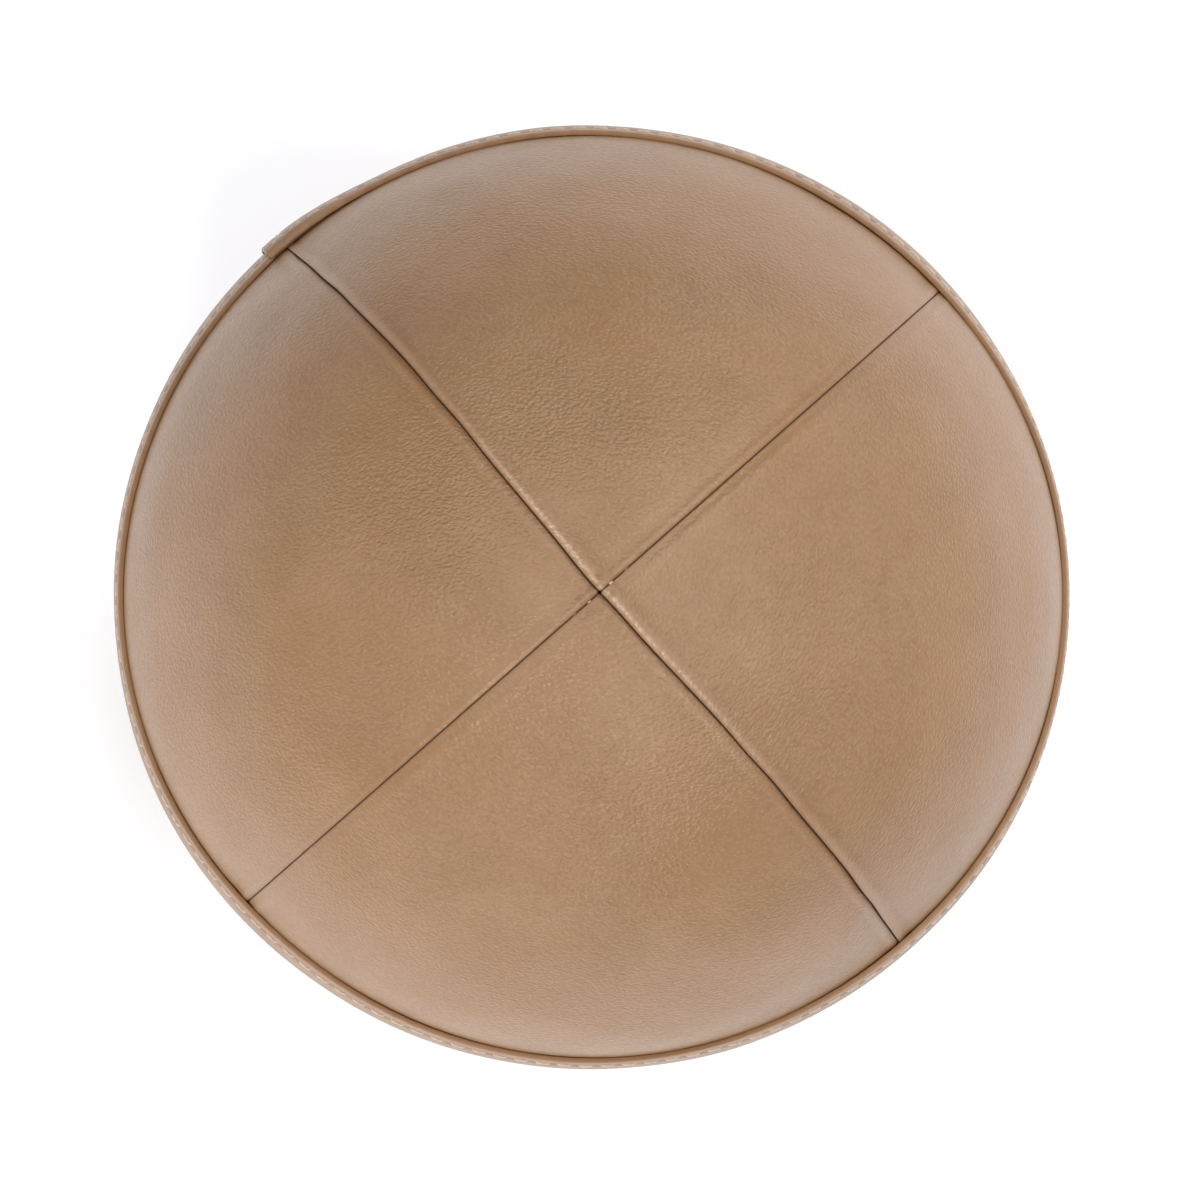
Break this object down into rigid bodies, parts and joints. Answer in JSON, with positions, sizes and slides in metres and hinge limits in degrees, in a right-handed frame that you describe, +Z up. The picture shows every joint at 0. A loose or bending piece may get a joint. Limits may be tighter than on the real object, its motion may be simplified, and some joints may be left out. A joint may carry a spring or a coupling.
{
  "type": "medicine ball",
  "caption": "Weighted leather ball of sewn panels with a lapped, topstitched equator band over canvas, foam, fibre and sand.",
  "frame": {"origin": "centre of the small flat that the ball rests on, directly under the crossing of the top seams", "axes": "+Z up through both seam crossings; +X through the middle of the right panels, +Y through the rear ones; the four panel seams of each half lie on the diagonals between them"},
  "size_m": [0.28, 0.28, 0.2739],
  "materials": {
    "panel_leather": "satin, fine pebble grain",
    "band_leather": "satin, fine grain, turned edges",
    "topstitch_thread": "waxed thread",
    "seam_thread": "waxed thread",
    "lining_canvas": "matte plain weave",
    "bag_canvas": "matte plain weave",
    "pad_foam": "matte open-cell foam",
    "textile_fibre": "matte shredded textile",
    "sand": "matte fine grains",
    "tie_cord": "matte twisted cord"
  },
  "bodies": {
    "root": {"leather_panel_top_right": "panel_leather", "leather_panel_top_rear": "panel_leather", "leather_panel_top_left": "panel_leather", "leather_panel_top_front": "panel_leather", "leather_panel_bottom_right": "panel_leather", "leather_panel_bottom_rear": "panel_leather", "leather_panel_bottom_left": "panel_leather", "leather_panel_bottom_front": "panel_leather", "canvas_lining_top_right": "lining_canvas", "canvas_lining_top_rear": "lining_canvas", "canvas_lining_top_left": "lining_canvas", "canvas_lining_top_front": "lining_canvas", "canvas_lining_bottom_right": "lining_canvas", "canvas_lining_bottom_rear": "lining_canvas", "canvas_lining_bottom_left": "lining_canvas", "canvas_lining_bottom_front": "lining_canvas", "foam_pad_top_right": "pad_foam", "foam_pad_top_rear": "pad_foam", "foam_pad_top_left": "pad_foam", "foam_pad_top_front": "pad_foam", "foam_pad_bottom_right": "pad_foam", "foam_pad_bottom_rear": "pad_foam", "foam_pad_bottom_left": "pad_foam", "foam_pad_bottom_front": "pad_foam", "equator_band": "band_leather", "band_stitch_upper": "topstitch_thread", "band_stitch_lower": "topstitch_thread", "band_stitch_lap": "topstitch_thread", "panel_seam_thread_top": "seam_thread", "panel_seam_thread_bottom": "seam_thread", "equator_seam_thread": "seam_thread", "closing_thread": "seam_thread", "liner_bag_upper": "bag_canvas", "liner_bag_lower": "bag_canvas", "liner_seam_thread": "seam_thread", "liner_closing_thread": "seam_thread", "fibre_fill_upper": "textile_fibre", "fibre_fill_lower": "textile_fibre", "ballast_pouch": "bag_canvas", "ballast_sand": "sand", "ballast_tie": "tie_cord"}
  },
  "joints": []
}
